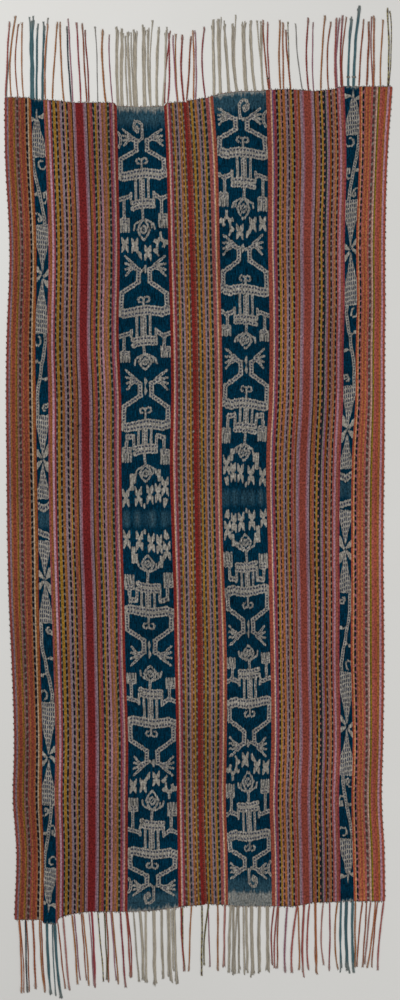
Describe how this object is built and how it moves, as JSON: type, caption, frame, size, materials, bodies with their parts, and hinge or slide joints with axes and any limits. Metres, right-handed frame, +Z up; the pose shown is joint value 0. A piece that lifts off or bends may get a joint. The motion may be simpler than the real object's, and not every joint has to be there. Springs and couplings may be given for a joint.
{
  "type": "ikat woven cloth",
  "caption": "Flat warp-faced ikat cloth for wrapping or draping, seamed lengthwise from striped panels with indigo bands of pale figures, with a fringe of twisted warp at each end.",
  "frame": {"origin": "middle of the cloth with its fringes, on the surface it lies on", "axes": "+Y along the warp and the seam, +X across the two panels, +Z up off the surface, out of the face that shows"},
  "size_m": [1.0079, 2.58, 0.0054],
  "materials": {
    "striped_cotton": "matt handspun cotton, warp-faced, in brick, orange, gold and mauve stripes with indigo ikat bands",
    "twisted_warp": "matt twisted cotton warp ends in the colours of the stripes they come from"
  },
  "bodies": {
    "root": {"panel_left": "striped_cotton", "panel_right": "striped_cotton", "fringe_top_left": "twisted_warp", "fringe_top_right": "twisted_warp", "fringe_foot_left": "twisted_warp", "fringe_foot_right": "twisted_warp"}
  },
  "joints": []
}
